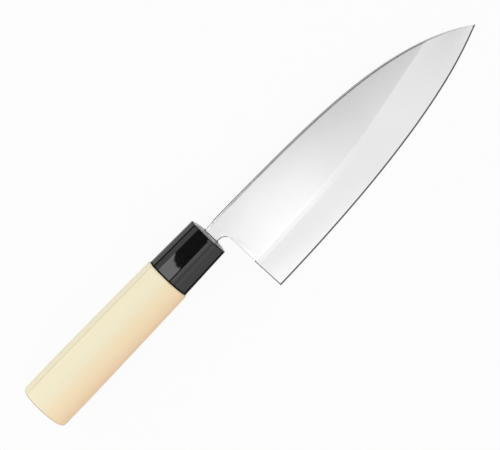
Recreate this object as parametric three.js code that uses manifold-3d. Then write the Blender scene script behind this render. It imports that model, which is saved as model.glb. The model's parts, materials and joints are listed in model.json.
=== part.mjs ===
// Kitchen knife with a single-bevel blade, a black collar and an oval wooden handle.
// Millimetres. Each piece is drawn in the knife's own frame: x runs along the handle axis to the point,
// y towards the spine, z out of the bevelled right side, from the middle of the collar's front rim.
// The whole knife is then laid on its left side, the way it lies on a table.
import * as THREE from 'three';
import { mergeVertices } from 'three/addons/utils/BufferGeometryUtils.js';
import Module from 'manifold-3d';

const wasm = await Module();
wasm.setup();

// Blade outline, from the collar's front rim
const HEEL_X = 6.8;
const HEEL_DROP = 44.95;
const POINT_X = 170.4;
const POINT_DROP = 23.55;
const SPINE_RISE = 4.35;
const SPINE_START_SLOPE = -0.013;
const SPINE_END_SLOPE = -0.758;
const SPINE_START_PULL = 0.425;
const SPINE_END_PULL = 0.22;
const EDGE_START_SLOPE = 0.009;
const EDGE_END_SLOPE = 0.352;
const EDGE_START_PULL = 0.716;
const EDGE_END_PULL = 0.075;
const POINT_TRIM = 0.3;

// Grind: the flat above the ridge line, the narrow blend below it, the wide bevel and the honed edge
const RIDGE_DROP = 25.95;
const RIDGE_END_X = 147.6;
const RIDGE_START_SLOPE = 0.026;
const RIDGE_END_SLOPE = 0.184;
const RIDGE_START_PULL = 0.561;
const RIDGE_END_PULL = 0.465;
const BLEND_WIDTH = 3.2;
const BLEND_STEEPNESS = 0.45;
const SPINE_THICK = 4.0;
const SPINE_THICK_AT_RIDGE_END = 2.2;
const SPINE_EASE = 0.35;
const HONE_WIDTH = 0.6;
const HONE_THICK = 0.32;
const EDGE_THICK = 0.1;
const BACK_RIM_EDGE = 2.4;
const BACK_RIM_SPINE = 3.2;
const BACK_HOLLOW = 0.3;
const BACK_HOLLOW_FADE = 14;

// Neck and tang
const NECK_X = 1.8;
const NECK_DROP = 4.95;
const NECK_SLOPE = -0.05;
const NECK_FILLET = 4.0;
const NECK_DIP = 1.6;
const NECK_DIP_REACH = 15;
const TANG_REACH = 78;
const TANG_TOP = 1.6;
const TANG_BOTTOM = -4.7;
const TANG_THICK = 3.4;
const TANG_END_TOP = -0.4;
const TANG_END_BOTTOM = -3.6;
const TANG_END_THICK = 2.2;
const TANG_LAP = 0.6;

// Collar
const COLLAR_LENGTH = 29.7;
const COLLAR_FRONT_HEIGHT = 23.1;
const COLLAR_FRONT_THICK = 18.4;
const COLLAR_REAR_HEIGHT = 24.6;
const COLLAR_REAR_THICK = 19.5;
const COLLAR_EASE = 0.45;
const COLLAR_DOME = 1.0;
const COLLAR_WALL = 2.4;
const COLLAR_FRONT_WALL = 3.6;
const SLOT_MARGIN = 1.0;
const SLOT_SIDE = 1.2;
const SLOT_CORNER = 1.0;
const SEAL_PROUD = 1.4;

// Handle
const GRIP_LENGTH = 92.35;
const GRIP_FRONT_HEIGHT = 26.0;
const GRIP_FRONT_THICK = 21.0;
const GRIP_SWELL_X = -104;
const GRIP_REAR_HEIGHT = 28.1;
const GRIP_REAR_THICK = 22.6;
const SHOULDER_ROUND = 0.9;
const BUTT_EASE = 1.2;
const BORE_CLEARANCE = 1.5;
const CREST_ANGLE = 34;
const CREST_RISE = 0.5;

// Play between pieces that seat on each other
const FIT_GAP = 0.3;

// Mesh fineness
const BLADE_STATIONS = 44;
const HOLLOW_POINTS = 5;
const OVAL_POINTS = 64;

const BACK_Z = -SPINE_THICK / 2;

// A curve between two points that leaves and arrives at given slopes
function sweep(start, end, startSlope, endSlope, startPull, endPull) {
  const run = end.x - start.x;
  const leave = new THREE.Vector2(1, startSlope).multiplyScalar(startPull * run);
  const arrive = new THREE.Vector2(1, endSlope).multiplyScalar(endPull * run);
  return new THREE.CubicBezierCurve(start, start.clone().add(leave), end.clone().sub(arrive), end);
}

// Height of a curve that runs forward along x, found by halving
function heightAt(curve, x) {
  let low = 0;
  let high = 1;
  for (let step = 0; step < 40; step += 1) {
    const middle = (low + high) / 2;
    if (curve.getPoint(middle).x < x) low = middle;
    else high = middle;
  }
  return curve.getPoint(low).y;
}

const point = new THREE.Vector2(POINT_X, -POINT_DROP);
const spineCurve = sweep(
  new THREE.Vector2(0, SPINE_RISE), point,
  SPINE_START_SLOPE, SPINE_END_SLOPE, SPINE_START_PULL, SPINE_END_PULL,
);
const edgeCurve = sweep(
  new THREE.Vector2(HEEL_X, -HEEL_DROP), point,
  EDGE_START_SLOPE, EDGE_END_SLOPE, EDGE_START_PULL, EDGE_END_PULL,
);
const ridgeCurve = sweep(
  new THREE.Vector2(HEEL_X, -RIDGE_DROP),
  new THREE.Vector2(RIDGE_END_X, heightAt(spineCurve, RIDGE_END_X)),
  RIDGE_START_SLOPE, RIDGE_END_SLOPE, RIDGE_START_PULL, RIDGE_END_PULL,
);

// The spine dips a little where it runs down to the neck
function spineY(x) {
  const share = Math.max(0, 1 - Math.max(x, 0) / NECK_DIP_REACH);
  return heightAt(spineCurve, x) - NECK_DIP * share * share;
}

const edgeY = (x) => (x < HEEL_X ? -HEEL_DROP : heightAt(edgeCurve, x));

// The ridge line runs straight on past its ends, so that the spine can cut it off
function ridgeY(x) {
  if (x < HEEL_X) return -RIDGE_DROP;
  if (x < RIDGE_END_X) return heightAt(ridgeCurve, x);
  return spineY(RIDGE_END_X) + RIDGE_END_SLOPE * (x - RIDGE_END_X);
}

function spineThick(x) {
  const share = Math.min(Math.max(x, 0), RIDGE_END_X) / RIDGE_END_X;
  return THREE.MathUtils.lerp(SPINE_THICK, SPINE_THICK_AT_RIDGE_END, share);
}

// How the bevelled face falls away at one station
function grindAt(x) {
  const ground = Math.min(x, RIDGE_END_X);
  const bevelHeight = ridgeY(ground) - BLEND_WIDTH - edgeY(ground) - HONE_WIDTH;
  const fall = spineThick(ground) - HONE_THICK;
  const bevelSlope = fall / (bevelHeight + BLEND_STEEPNESS * BLEND_WIDTH);
  return { bevelSlope, blendSlope: bevelSlope * BLEND_STEEPNESS };
}

// One cross-section of the blade, as [y, z] points that start at the back of the spine
function bladeSection(x) {
  const top = spineY(x);
  const bottom = edgeY(x);
  const height = top - bottom;
  const { bevelSlope, blendSlope } = grindAt(x);
  const hone = Math.min(HONE_WIDTH, height / 4);
  const honeTop = bottom + hone;
  const blendLow = ridgeY(x) - BLEND_WIDTH;
  const faceZ = (y) => {
    const bevel = HONE_THICK + bevelSlope * (Math.min(y, blendLow) - honeTop);
    const blend = blendSlope * Math.max(0, Math.min(y, ridgeY(x)) - blendLow);
    return BACK_Z + Math.max(bevel, 0) + blend;
  };
  const ease = Math.min(SPINE_EASE, (faceZ(top) - BACK_Z) / 4, height / 8);
  const flatTop = top - ease;
  const sliver = ease / 8;
  const ridge = Math.min(ridgeY(x), flatTop - sliver);
  const blend = Math.min(blendLow, ridge - sliver);
  const honeHigh = Math.min(honeTop, blend - sliver);
  const ring = [
    [flatTop, BACK_Z],
    [top, BACK_Z + ease],
    [top, Math.max(faceZ(top) - ease, BACK_Z + 2 * ease)],
    [flatTop, faceZ(flatTop)],
    [ridge, faceZ(ridge)],
    [blend, faceZ(blend)],
    [honeHigh, faceZ(honeHigh)],
    [bottom, BACK_Z + EDGE_THICK],
    [bottom, BACK_Z],
  ];
  const rimLow = bottom + Math.min(BACK_RIM_EDGE, height / 5);
  const rimHigh = flatTop - Math.min(BACK_RIM_SPINE, height / 5);
  const depth = BACK_HOLLOW * hollowShare(x);
  for (let i = 0; i <= HOLLOW_POINTS; i += 1) {
    const along = i / HOLLOW_POINTS;
    const dish = 4 * along * (1 - along);
    ring.push([THREE.MathUtils.lerp(rimLow, rimHigh, along), BACK_Z + depth * dish]);
  }
  return ring.map(([y, z]) => new THREE.Vector3(x, y, z));
}

// The dished back starts ahead of the heel and ends short of the point
function hollowShare(x) {
  const fromHeel = (x - HEEL_X) / BACK_HOLLOW_FADE;
  const fromRidgeEnd = (RIDGE_END_X - x) / BACK_HOLLOW_FADE;
  return THREE.MathUtils.smoothstep(Math.min(fromHeel, fromRidgeEnd), 0, 1);
}

// A closed skin over rings of equal count, each ring counter-clockwise seen from the far end
function loft(rings) {
  const count = rings[0].length;
  const index = [];
  for (let r = 0; r + 1 < rings.length; r += 1) {
    for (let i = 0; i < count; i += 1) {
      const a = r * count + i;
      const b = r * count + ((i + 1) % count);
      index.push(a, b, b + count, a, b + count, a + count);
    }
  }
  const last = (rings.length - 1) * count;
  const outline = (ring) => ring.map((p) => new THREE.Vector2(p.y, p.z));
  THREE.ShapeUtils.triangulateShape(outline(rings[0]), []).forEach(([a, b, c]) => index.push(a, c, b));
  THREE.ShapeUtils.triangulateShape(outline(rings.at(-1)), []).forEach(([a, b, c]) => {
    index.push(last + a, last + b, last + c);
  });
  const geometry = new THREE.BufferGeometry().setFromPoints(rings.flat());
  geometry.setIndex(index);
  return geometry;
}

// Geometry to solid, with shared corners merged
function solid(geometry) {
  const bare = geometry.index ? geometry.clone() : geometry;
  bare.deleteAttribute('normal');
  bare.deleteAttribute('uv');
  const merged = mergeVertices(bare, 1e-4);
  return new wasm.Manifold(new wasm.Mesh({
    numProp: 3,
    vertProperties: new Float32Array(merged.attributes.position.array),
    triVerts: new Uint32Array(merged.index.array),
  }));
}

// A flat shape on the xy plane, drawn through both sides of the knife
function plateZ(shape, halfThick) {
  const geometry = new THREE.ExtrudeGeometry(shape, {
    depth: 2 * halfThick, bevelEnabled: false, curveSegments: 12,
  });
  return solid(geometry.translate(0, 0, -halfThick));
}

// A shape on the yz plane, drawn along the handle from one x to another
function prismX(shape, from, to) {
  const geometry = new THREE.ExtrudeGeometry(shape, {
    depth: to - from, bevelEnabled: false, curveSegments: 6,
  });
  const turn = new THREE.Matrix4().set(0, 0, 1, from, 1, 0, 0, 0, 0, 1, 0, 0, 0, 0, 0, 1);
  return solid(geometry.applyMatrix4(turn));
}

// The tang as a tapered bar, grown all round by an offset and started at a given x
function tangBar(offset, from) {
  const slice = (x) => {
    const share = (NECK_X - x) / (NECK_X + TANG_REACH);
    const high = THREE.MathUtils.lerp(TANG_TOP, TANG_END_TOP, share) + offset;
    const low = THREE.MathUtils.lerp(TANG_BOTTOM, TANG_END_BOTTOM, share) - offset;
    const side = THREE.MathUtils.lerp(TANG_THICK, TANG_END_THICK, share) / 2 + offset;
    return [[high, -side], [high, side], [low, side], [low, -side]]
      .map(([y, z]) => new THREE.Vector3(x, y, z));
  };
  return solid(loft([slice(-TANG_REACH - offset), slice(from)]));
}

// An oval ring with one crest along the right shoulder, where the two tangents to the oval meet
function ovalRing(x, height, thick, crest) {
  const peak = 1 + crest / (thick / 2);
  const reach = Math.acos(1 / peak);
  const crestAngle = THREE.MathUtils.degToRad(CREST_ANGLE);
  const ring = [[peak, crestAngle]];
  for (let i = 0; i < OVAL_POINTS; i += 1) {
    const along = i / (OVAL_POINTS - 1);
    ring.push([1, crestAngle + reach + along * 2 * (Math.PI - reach)]);
  }
  return ring.map(([radius, angle]) => new THREE.Vector3(
    x,
    radius * Math.cos(angle) * height / 2,
    radius * Math.sin(angle) * thick / 2,
  ));
}

const SIDE_CUT = 4 * SPINE_THICK;

function makeBlade() {
  const rings = [];
  const last = POINT_X - POINT_TRIM;
  for (let i = 0; i <= BLADE_STATIONS; i += 1) {
    const along = Math.sin((i / BLADE_STATIONS) * Math.PI / 2);
    rings.push(bladeSection(THREE.MathUtils.lerp(NECK_X, last, along)));
  }
  const ground = solid(loft(rings));

  const steep = Math.hypot(1, NECK_SLOPE);
  const neckLine = (x) => -NECK_DROP + NECK_SLOPE * (x - NECK_X);
  const filletX = HEEL_X - NECK_FILLET;
  const filletY = neckLine(filletX) - NECK_FILLET * steep;
  const tangentX = filletX - NECK_FILLET * NECK_SLOPE / steep;
  const notch = new THREE.Shape();
  notch.moveTo(-HEEL_X, neckLine(-HEEL_X));
  notch.lineTo(tangentX, neckLine(tangentX));
  notch.absarc(filletX, filletY, NECK_FILLET, Math.atan2(1, -NECK_SLOPE), 0, true);
  notch.lineTo(HEEL_X, -2 * HEEL_DROP);
  notch.lineTo(-HEEL_X, -2 * HEEL_DROP);
  return ground.subtract(plateZ(notch, SIDE_CUT)).add(tangBar(0, NECK_X + TANG_LAP));
}

// The slot that the tang goes in by, and the bead that closes it
function slotShape(shrink) {
  const low = TANG_BOTTOM - SLOT_MARGIN + shrink;
  const high = spineY(NECK_X) + SLOT_MARGIN - shrink;
  const side = TANG_THICK / 2 + SLOT_SIDE - shrink;
  const corner = Math.max(SLOT_CORNER - shrink, SLOT_CORNER / 4);
  const shape = new THREE.Shape();
  shape.absarc(high - corner, side - corner, corner, 0, Math.PI / 2);
  shape.absarc(low + corner, side - corner, corner, Math.PI / 2, Math.PI);
  shape.absarc(low + corner, corner - side, corner, Math.PI, 1.5 * Math.PI);
  shape.absarc(high - corner, corner - side, corner, 1.5 * Math.PI, 2 * Math.PI);
  return shape;
}

const collarHeight = (x) => THREE.MathUtils.lerp(
  COLLAR_FRONT_HEIGHT, COLLAR_REAR_HEIGHT, -x / COLLAR_LENGTH,
);
const collarThick = (x) => THREE.MathUtils.lerp(
  COLLAR_FRONT_THICK, COLLAR_REAR_THICK, -x / COLLAR_LENGTH,
);

// A plain oval core inside the collar: the socket, or with a gap the tenon that fills it
function collarCore(from, to, gap) {
  const inset = 2 * (COLLAR_WALL + gap);
  const slice = (x) => ovalRing(x, collarHeight(x) - inset, collarThick(x) - inset, 0);
  return solid(loft([slice(from), slice(to)]));
}

function makeCollar() {
  const slice = (x, ease) => ovalRing(
    x, collarHeight(x) - 2 * ease, collarThick(x) - 2 * ease, CREST_RISE,
  );
  const dome = (share) => ovalRing(
    COLLAR_DOME * (1 - share ** 4),
    share * (COLLAR_FRONT_HEIGHT - 2 * COLLAR_EASE),
    share * (COLLAR_FRONT_THICK - 2 * COLLAR_EASE),
    share * CREST_RISE,
  );
  const skin = solid(loft([
    slice(-COLLAR_LENGTH, 0),
    slice(-COLLAR_EASE, 0),
    slice(-COLLAR_EASE * 0.3, COLLAR_EASE * 0.3),
    dome(1),
    dome(0.85),
    dome(0.65),
    dome(0.4),
  ]));
  const socket = collarCore(-COLLAR_LENGTH - COLLAR_WALL, -COLLAR_FRONT_WALL, 0);
  const slot = prismX(slotShape(0), -COLLAR_FRONT_WALL - COLLAR_WALL, COLLAR_WALL);
  return skin.subtract(socket).subtract(slot);
}

const GRIP_X = -COLLAR_LENGTH - FIT_GAP;
const BUTT_X = GRIP_X - GRIP_LENGTH;
const TENON_X = -COLLAR_FRONT_WALL - FIT_GAP;

function makeHandle() {
  const swell = (x) => {
    const share = Math.min((GRIP_X - x) / (GRIP_X - GRIP_SWELL_X), 1);
    const eased = Math.sin(share * Math.PI / 2) * 0.35 + share * 0.65;
    return {
      height: THREE.MathUtils.lerp(GRIP_FRONT_HEIGHT, GRIP_REAR_HEIGHT, eased),
      thick: THREE.MathUtils.lerp(GRIP_FRONT_THICK, GRIP_REAR_THICK, eased),
    };
  };
  const slice = (x, ease) => {
    const { height, thick } = swell(x);
    return ovalRing(x, height - 2 * ease, thick - 2 * ease, CREST_RISE);
  };
  const quarterTurn = [0, 30, 60, 90].map(THREE.MathUtils.degToRad);
  const rings = quarterTurn.map((angle) => slice(
    BUTT_X + BUTT_EASE * (1 - Math.cos(angle)), BUTT_EASE * (1 - Math.sin(angle)),
  ));
  const front = GRIP_X - SHOULDER_ROUND;
  const steps = 7;
  for (let i = 1; i < steps; i += 1) {
    rings.push(slice(THREE.MathUtils.lerp(BUTT_X + BUTT_EASE, front, i / steps), 0));
  }
  for (const angle of quarterTurn) {
    const x = front + SHOULDER_ROUND * Math.sin(angle);
    rings.push(slice(x, SHOULDER_ROUND * (1 - Math.cos(angle))));
  }
  const grip = solid(loft(rings));
  const tenon = collarCore(GRIP_X - COLLAR_WALL, TENON_X, FIT_GAP);
  return grip.add(tenon).subtract(tangBar(BORE_CLEARANCE, 0));
}

// Resin bed that fills the bore round the tang
function makeAdhesive() {
  const cast = tangBar(BORE_CLEARANCE - FIT_GAP, TENON_X);
  return cast.subtract(tangBar(FIT_GAP, NECK_X));
}

function makeSeal() {
  const bead = prismX(slotShape(FIT_GAP), -COLLAR_FRONT_WALL, SEAL_PROUD);
  return bead.subtract(tangBar(FIT_GAP, NECK_X));
}

const knife = new THREE.Group();

function addPiece(name, manifold, look) {
  const { vertProperties, triVerts } = manifold.getMesh();
  const geometry = new THREE.BufferGeometry();
  geometry.setAttribute('position', new THREE.BufferAttribute(new Float32Array(vertProperties), 3));
  geometry.setIndex(new THREE.BufferAttribute(new Uint32Array(triVerts), 1));
  geometry.computeVertexNormals();
  const mesh = new THREE.Mesh(geometry, new THREE.MeshStandardMaterial(look));
  mesh.name = name;
  knife.add(mesh);
}

addPiece('blade', makeBlade(), { color: '#d6d8da', roughness: 0.28, metalness: 1 });
addPiece('collar', makeCollar(), { color: '#18181a', roughness: 0.18, metalness: 0 });
addPiece('handle', makeHandle(), { color: '#ecdfba', roughness: 0.62, metalness: 0 });
addPiece('tang_adhesive', makeAdhesive(), { color: '#a8905c', roughness: 0.5, metalness: 0 });
addPiece('mouth_seal', makeSeal(), { color: '#2b2a2a', roughness: 0.45, metalness: 0 });

// The knife rests on its heel, its point and the left side of its handle: the table plane turns about
// the line from heel to point until no corner of the knife lies below it
const heelCorner = new THREE.Vector3(HEEL_X, -HEEL_DROP, BACK_Z);
const pointCorner = new THREE.Vector3(POINT_X, -POINT_DROP, BACK_Z);
const restLine = pointCorner.sub(heelCorner).normalize();
const awayFromEdge = new THREE.Vector3(-restLine.y, restLine.x, 0);

function restTilt() {
  let tilt = 0;
  const corner = new THREE.Vector3();
  for (const mesh of knife.children) {
    const places = mesh.geometry.attributes.position;
    for (let i = 0; i < places.count; i += 1) {
      corner.fromBufferAttribute(places, i).sub(heelCorner);
      const away = corner.dot(awayFromEdge);
      if (away > HEEL_DROP / 2) tilt = Math.max(tilt, Math.atan2(-corner.z, away));
    }
  }
  return tilt;
}

knife.quaternion.setFromAxisAngle(restLine, restTilt());
knife.updateMatrixWorld(true);
const box = new THREE.Box3().setFromObject(knife, true);
const middle = box.getCenter(new THREE.Vector3());
knife.position.set(-middle.x, -middle.y, -box.min.z);

const part = new THREE.Group();
part.add(knife);
export default part;
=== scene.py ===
"""Kitchen knife with a single-bevel blade, a black collar and an oval wooden handle.

The pieces are modelled in the knife's own frame: x runs along the handle axis to the point, y
towards the spine and z out of the bevelled right side, from the middle of the collar's front rim.
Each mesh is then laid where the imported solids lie.
"""

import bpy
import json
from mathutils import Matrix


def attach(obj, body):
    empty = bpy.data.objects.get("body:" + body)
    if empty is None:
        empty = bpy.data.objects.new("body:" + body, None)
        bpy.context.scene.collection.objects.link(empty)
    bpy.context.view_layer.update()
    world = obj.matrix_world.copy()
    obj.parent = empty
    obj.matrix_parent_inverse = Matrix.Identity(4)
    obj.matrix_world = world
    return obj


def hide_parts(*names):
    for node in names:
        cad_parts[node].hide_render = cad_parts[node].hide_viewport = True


bl_info = {
    "name": "Single-bevel kitchen knife",
    "version": (1, 0, 0),
    "blender": (4, 5, 0),
    "location": "View3D > Sidebar > Knife",
    "description": "Models and finishes a kitchen knife with a wooden handle on its packed frame",
    "category": "Add Mesh",
}

import json
import math

import bmesh
import bpy
import numpy as np
from mathutils import Matrix, Vector
from mathutils.geometry import interpolate_bezier

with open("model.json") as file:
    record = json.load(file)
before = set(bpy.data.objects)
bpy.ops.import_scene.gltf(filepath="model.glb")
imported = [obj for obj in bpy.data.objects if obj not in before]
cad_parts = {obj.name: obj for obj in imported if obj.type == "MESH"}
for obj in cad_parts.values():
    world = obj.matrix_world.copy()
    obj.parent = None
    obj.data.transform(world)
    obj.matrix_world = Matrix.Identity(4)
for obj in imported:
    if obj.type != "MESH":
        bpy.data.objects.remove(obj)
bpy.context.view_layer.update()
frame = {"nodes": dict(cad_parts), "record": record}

MM = 0.001
ROOT = "root"

# Run of the blade's lines: slope at both ends, and how far along the line each slope is held
SPINE_SLOPES, SPINE_PULLS = (-0.013, -0.758), (0.425, 0.22)
EDGE_SLOPES, EDGE_PULLS = (0.009, 0.352), (0.716, 0.075)
RIDGE_SLOPES, RIDGE_PULLS = (0.026, 0.184), (0.561, 0.465)
NECK_SLOPE = -0.05

# How fine the meshes are
LINE_POINTS = 600
BLADE_STATIONS = 110
BEVEL_STEPS = 7
CORNER_STEPS = 8
FILLET_STEPS = 8
BACK_STEPS, BACK_TOP_STEPS = 6, 4
OVAL_POINTS = 96
GRIP_STATIONS = 26
COLLAR_STATIONS = (0.98, 0.75, 0.5, 0.25, 0.05)
DOME_STATIONS = (0.97, 0.85, 0.7)
CORNER_TURNS = [math.pi / 2 * step / CORNER_STEPS for step in range(CORNER_STEPS + 1)]
SHARP_ANGLE = math.radians(15)
MERGE_DISTANCE = 1e-7

# Dished back: the length over which it fades, its flat rims, and the highest share of the way
# between them at which its mesh has the point where the neck leaves the heel
HOLLOW_FADE = 14 * MM
EDGE_RIM, SPINE_RIM = 2.4 * MM, 3.2 * MM
BACK_TURN = 0.8

# Towards the point, the honed strip, the back's rims and the spine's easing keep to these shares
# of the blade's height, the easing also of its thickness, and the points of a section stay apart
# by a share of the easing
HONE_LIMIT, RIM_LIMIT, EASE_LIMIT = 1 / 4, 1 / 5, 1 / 8
EASE_THICK_LIMIT = 1 / 4
POINT_GAP = 1 / 24

# Chamfer of the heel: its share above the ridge, how deep it cuts into the thickness on the
# polished faces and on the bevel, and how much shorter it is on the bevel
CHAMFER_FADE = 0.2
POLISHED_CUT, BEVEL_CUT = 0.25, 0.5
BEVEL_SHORT = 0.45

# How far a face's normal has to lean along an axis to count as facing that way, or as a chamfer
FACING = 0.8
FRONT_FACING = 0.9
CHAMFER_LEAN = (0.3, 0.97)

# Dark strips of plastic: the angle of the line beside the crest, and the angle from the spine side
# at which the painted shade on the lower side starts
CREST_LINE_ANGLE, SHADED_UNDERSIDE_TURN = 0.05, 2.64

# Hidden sections in the collar and the handle: upper end, lower end, and the tang's thickness or
# the bore's half width
TANG_ROOT = (1.6 * MM, -4.7 * MM, 3.4 * MM)
TANG_TIP = (-0.4 * MM, -3.6 * MM, 2.2 * MM)
BORE_MOUTH = (3.1 * MM, -6.8 * MM, 3.2 * MM)
BORE_END = (1.1 * MM, -5.1 * MM, 2.6 * MM)
BORE_PAST_TANG = 1.5 * MM
TENON_SHORT, TENON_CLEARANCE = 0.3 * MM, 0.05 * MM
BEAD_SHORT, BEAD_CLEARANCE = 0.3 * MM, 0.02 * MM
BEAD_ROUND, BEAD_RIM = 0.5 * MM, 0.8
SLOT_SQUARENESS = 0.25
SWELL_ROUNDNESS = 0.35

# Middle of the picture in the knife's frame, and what the camera can see
PICTURE_MIDDLE = Vector((18.6, -11.3, 0)) * MM
SIGHT_RANGE = (0.01, 50)

# The floor's half width, and how much of its white the camera and the mirroring pieces see
FLOOR_REACH = 6
SEEN_WHITE, MIRRORED_WHITE = 0.93, 0.12

# Soft boxes: name, place, the point they face, width, height and brightness
SOFT_BOXES = (
    ("butt_side_box", (-0.41, 0.4, 1.36), (-0.41, 0.4, 0), 0.62, 1.8, 1.85),
    ("edge_side_box", (-0.08, -0.64, 1.36), (-0.08, -0.64, 0), 0.3, 0.5, 0.52),
    ("low_edge_side_box", (-0.2, -0.98, 0.74), (-0.2, 0, 0), 0.7, 0.34, 0.25),
    ("low_spine_side_box", (-0.45, 1.1, 0.42), (-0.1, 0, 0), 0.9, 0.3, 2.2),
)

# Cards: name, finish, height and outline. The black one gives the gloss its dark shapes. The grey
# ones keep the bevel from turning white when seen along the knife, and shade it towards the point.
CARD_TONES = {"black_card": 0.02, "grey_card": 0.6}
CARDS = (
    ("overhead_card", "black_card", 1.35, (
        (-0.2, -0.5), (-0.074, -0.5), (-0.066, -0.35), (1, -0.48), (1, 1.3), (-0.1514, 1.3),
        (-0.136, 0.85), (-0.1222, 0.3), (-0.123, -0.25), (-0.1265, -0.38), (-0.2, -0.38),
    )),
    ("butt_side_card", "grey_card", 1.36, (
        (-1.25, -0.1), (-0.73, -0.1), (-0.73, 0.55), (-1.25, 0.55),
    )),
    ("edge_side_card", "grey_card", 1.34, (
        (0.43, -0.85), (0.59, -0.85), (0.59, -0.66), (0.43, -0.66),
    )),
)


def linear(code):
    """Turns an sRGB hex colour into linear red, green and blue."""
    shares = [int(code[i:i + 2], 16) / 255 for i in (1, 3, 5)]
    return tuple(s / 12.92 if s <= 0.04045 else ((s + 0.055) / 1.055) ** 2.4 for s in shares)


def toned(colour, share=1):
    """A colour as a node takes it, darkened to a share of its light."""
    return (*(share * channel for channel in colour), 1)


def span(name, description, millimetres):
    """A length that a user may change, shown in the scene's units."""
    return bpy.props.FloatProperty(
        name=name, description=description, default=millimetres * MM,
        subtype="DISTANCE", unit="LENGTH", precision=5,
    )


def tint(name, description, code):
    """A colour that a user may change."""
    return bpy.props.FloatVectorProperty(
        name=name, description=description, default=linear(code),
        size=3, subtype="COLOR", min=0, max=1,
    )


class KnifeBladeSizes(bpy.types.PropertyGroup):
    """Sizes and finish of the blade"""

    heel_reach: span("Heel reach", "From the collar's face to the heel", 6.8)
    heel_drop: span("Heel drop", "Heel below the handle axis", 44.95)
    point_reach: span("Point reach", "From the collar's face to the point", 170.4)
    point_drop: span("Point drop", "Point below the handle axis", 23.55)
    point_trim: span("Point trim", "Length lost at the rounded point", 0.3)
    spine_rise: span("Spine rise", "Spine above the handle axis at the collar", 4.1)
    spine_thick: span("Spine thickness", "Thickness at the collar", 4.0)
    spine_thick_far: span("Far spine thickness", "Thickness where the ridge meets the spine", 2.2)
    spine_ease: span("Spine easing", "Radius of the spine's corners", 0.6)
    ridge_drop: span("Ridge drop", "Ridge below the handle axis at the heel", 25.95)
    ridge_reach: span("Ridge reach", "Where the ridge meets the spine", 147.6)
    blend_width: span("Blend width", "Narrow facet between the flat and the bevel", 3.2)
    blend_steepness: bpy.props.FloatProperty(
        name="Blend steepness", description="Slope of the narrow facet, as a share of the bevel's",
        default=0.62, min=0, max=1, subtype="FACTOR",
    )
    softness: span("Ridge softness", "Half width of the rounding along the ridge", 0.5)
    crown: span("Bevel crown", "Rise of the bevel's middle above its ends", 0.1)
    hone_width: span("Hone width", "Width of the honed strip along the edge", 0.9)
    hone_thick: span("Hone thickness", "Thickness where the honed strip starts", 0.32)
    edge_thick: span("Edge thickness", "Thickness left at the edge", 0.1)
    hollow: span("Back hollow", "Depth of the dished back", 0.3)
    heel_ease: span("Heel easing", "Chamfer along the heel and the neck", 0.95)
    neck_drop: span("Neck drop", "Lower side of the neck below the handle axis", 4.95)
    neck_dip: span("Neck dip", "How far the spine runs down at the collar", 0.9)
    dip_reach: span("Dip reach", "Where the spine starts to run down", 15.0)
    neck_start: span("Neck start", "Where the neck's lower side is measured", 1.8)
    neck_root: span("Neck root", "Where the neck stands on the sealing bead", 1.27)
    neck_fillet: span("Neck fillet", "Radius between the neck and the heel", 4.0)
    face_colour: tint("Face colour", "Satin-polished faces", "#e9e9e9")
    # Its dark grey is partly painted shade, for the shaded floor mirrored along the spine, heel and
    # edge
    ground_and_shade_colour: tint("Ground colour", "Spine, heel and honed strip as ground", "#686868")


class KnifeCollarSizes(bpy.types.PropertyGroup):
    """Sizes and finish of the collar and the bead in its mouth"""

    length: span("Length", "Collar's length", 29.75)
    front_height: span("Front height", "Height at the blade's end", 23.1)
    front_thick: span("Front thickness", "Thickness at the blade's end", 18.4)
    rear_height: span("Rear height", "Height at the handle's end", 24.6)
    rear_thick: span("Rear thickness", "Thickness at the handle's end", 19.5)
    ease: span("Easing", "Radius of the front rim", 0.45)
    dome: span("Dome", "Rise of the front face's middle over its rim", 1.0)
    wall: span("Wall", "Wall round the tenon", 2.4)
    front_wall: span("Front wall", "Wall round the tang", 3.6)
    slot_top: span("Slot top", "Upper end of the tang's slot", 4.09)
    slot_bottom: span("Slot bottom", "Lower end of the tang's slot, below the axis", 5.7)
    slot_side: span("Slot side", "Half width of the tang's slot", 2.9)
    bead_proud: span("Bead height", "How far the sealing bead stands out", 1.25)
    colour: tint("Colour", "Glossy black plastic", "#0f0f10")
    bead_colour: tint("Bead colour", "Dark sealing resin", "#262525")


class KnifeHandleSizes(bpy.types.PropertyGroup):
    """Sizes and finish of the handle"""

    grip_start: span("Grip start", "From the collar's face to the wood", 30.0)
    butt_reach: span("Butt reach", "From the collar's face to the butt", 122.35)
    front_height: span("Front height", "Height at the collar", 26.0)
    front_thick: span("Front thickness", "Thickness at the collar", 21.0)
    rear_height: span("Rear height", "Height near the butt", 28.1)
    rear_thick: span("Rear thickness", "Thickness near the butt", 22.6)
    swell_reach: span("Swell reach", "Where the handle reaches its full height", 104.0)
    shoulder: span("Shoulder", "Radius of the rim at the collar", 0.9)
    butt_ease: span("Butt easing", "Radius of the butt's rim", 1.2)
    crest_rise: span("Crest rise", "Height of the crest on the right shoulder", 0.5)
    crest_angle: bpy.props.FloatProperty(
        name="Crest angle", description="Place of the crest, from the spine side to the right side",
        default=math.radians(34), subtype="ANGLE", unit="ROTATION",
    )
    tang_reach: span("Tang reach", "From the collar's face back to the tang's end", 78.0)
    pale_colour: tint("Pale wood", "Pale part of the wood", "#e8e0c3")
    warm_colour: tint("Warm wood", "Warmer part of the wood", "#eed9b2")
    # Painted shade: the rosier, darker tint towards the lower side
    shaded_lower_colour: tint("Rosy wood", "Rosy wood along the lower side", "#eccda8")
    grain_colour: tint("Grain", "Fine darker grain", "#d6bf92")
    # Darker colour for the end grain, the rim of the butt and a line along the crest
    rim_colour: tint("Rim", "End grain at the butt and the burnished crest", "#9a7a54")
    bed_colour: tint("Resin bed", "Amber resin round the tang", "#a8905c")


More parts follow.
